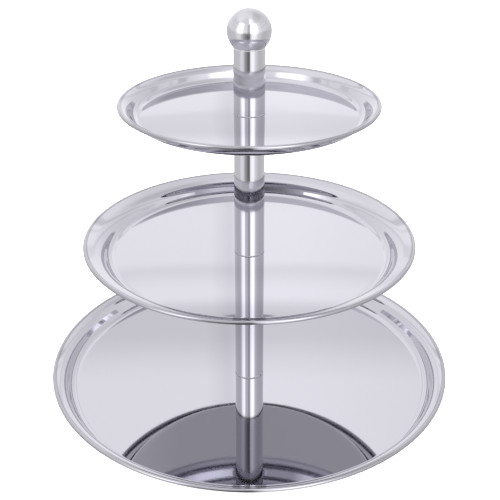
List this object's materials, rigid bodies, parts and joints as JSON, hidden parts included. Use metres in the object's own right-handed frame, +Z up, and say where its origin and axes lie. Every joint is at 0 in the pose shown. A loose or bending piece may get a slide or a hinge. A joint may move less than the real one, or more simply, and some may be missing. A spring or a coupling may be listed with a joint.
{
  "type": "tiered cake stand",
  "caption": "Tiered cake stand: round steel trays with curled rims, graded in size, screwed together on a central tube column with a ball knob on top.",
  "frame": {"origin": "centre of the column on the surface the feet stand on", "axes": "+Z up along the column, -Y towards the viewer of the front, +X to the right"},
  "size_m": [0.35, 0.35, 0.3386],
  "materials": {
    "polished_steel": "mirror polished",
    "turned_steel": "turned",
    "gasket": "matte",
    "foot_rubber": "matte"
  },
  "bodies": {
    "base": {"bottom_tray": "polished_steel", "base_screw": "turned_steel", "base_lock_washer": "turned_steel", "base_washer": "turned_steel", "foot_back_right": "foot_rubber", "foot_back_left": "foot_rubber", "foot_front_left": "foot_rubber", "foot_front_right": "foot_rubber"},
    "lower_tube_gasket": {"lower_tube_foot_gasket": "gasket"},
    "lower_column": {"lower_tube": "polished_steel", "lower_tube_foot_plug": "turned_steel", "lower_tube_head_plug": "turned_steel", "lower_stud": "turned_steel", "lower_tube_head_gasket": "gasket"},
    "middle_tier": {"middle_tray": "polished_steel"},
    "middle_tube_gasket": {"middle_tube_foot_gasket": "gasket"},
    "middle_column": {"middle_tube": "polished_steel", "middle_tube_foot_plug": "turned_steel", "middle_tube_head_plug": "turned_steel", "middle_stud": "turned_steel", "middle_tube_head_gasket": "gasket"},
    "top_tier": {"top_tray": "polished_steel"},
    "upper_tube_gasket": {"upper_tube_foot_gasket": "gasket"},
    "upper_column": {"upper_tube": "polished_steel", "upper_tube_foot_plug": "turned_steel", "upper_tube_head_plug": "turned_steel", "knob_stud": "turned_steel"},
    "knob_seal": {"knob_gasket": "gasket"},
    "knob": {"knob_ball": "polished_steel", "knob_insert": "turned_steel"}
  },
  "joints": [
    {"name": "lower_tube_turn", "type": "hinge", "parent": "base", "child": "lower_tube_gasket", "pos_m": [0, 0, 0.0072], "axis": [0, 0, 1], "range_deg": [0, 2881]},
    {"name": "lower_tube_rise", "type": "slide", "parent": "lower_tube_gasket", "child": "lower_column", "axis": [0, 0, 1], "range_m": [0, 0.01]},
    {"name": "middle_tray_swivel", "type": "hinge", "parent": "lower_column", "child": "middle_tier", "pos_m": [0, 0, 0.1299], "axis": [0, 0, 1], "continuous": true},
    {"name": "middle_tube_turn", "type": "hinge", "parent": "lower_column", "child": "middle_tube_gasket", "pos_m": [0, 0, 0.1311], "axis": [0, 0, 1], "range_deg": [0, 2881]},
    {"name": "middle_tube_rise", "type": "slide", "parent": "middle_tube_gasket", "child": "middle_column", "axis": [0, 0, 1], "range_m": [0, 0.01]},
    {"name": "top_tray_swivel", "type": "hinge", "parent": "middle_column", "child": "top_tier", "pos_m": [0, 0, 0.2538], "axis": [0, 0, 1], "continuous": true},
    {"name": "upper_tube_turn", "type": "hinge", "parent": "middle_column", "child": "upper_tube_gasket", "pos_m": [0, 0, 0.255], "axis": [0, 0, 1], "range_deg": [0, 2881]},
    {"name": "upper_tube_rise", "type": "slide", "parent": "upper_tube_gasket", "child": "upper_column", "axis": [0, 0, 1], "range_m": [0, 0.01]},
    {"name": "knob_turn", "type": "hinge", "parent": "upper_column", "child": "knob_seal", "pos_m": [0, 0, 0.3082], "axis": [0, 0, 1], "range_deg": [0, 2881]},
    {"name": "knob_rise", "type": "slide", "parent": "knob_seal", "child": "knob", "axis": [0, 0, 1], "range_m": [0, 0.01]}
  ],
  "couplings": [
    {"joint": "lower_tube_turn", "follows": "lower_tube_rise", "rad_per_m": 5026.5},
    {"joint": "middle_tube_turn", "follows": "middle_tube_rise", "rad_per_m": 5026.5},
    {"joint": "upper_tube_turn", "follows": "upper_tube_rise", "rad_per_m": 5026.5},
    {"joint": "knob_turn", "follows": "knob_rise", "rad_per_m": 5026.5}
  ]
}
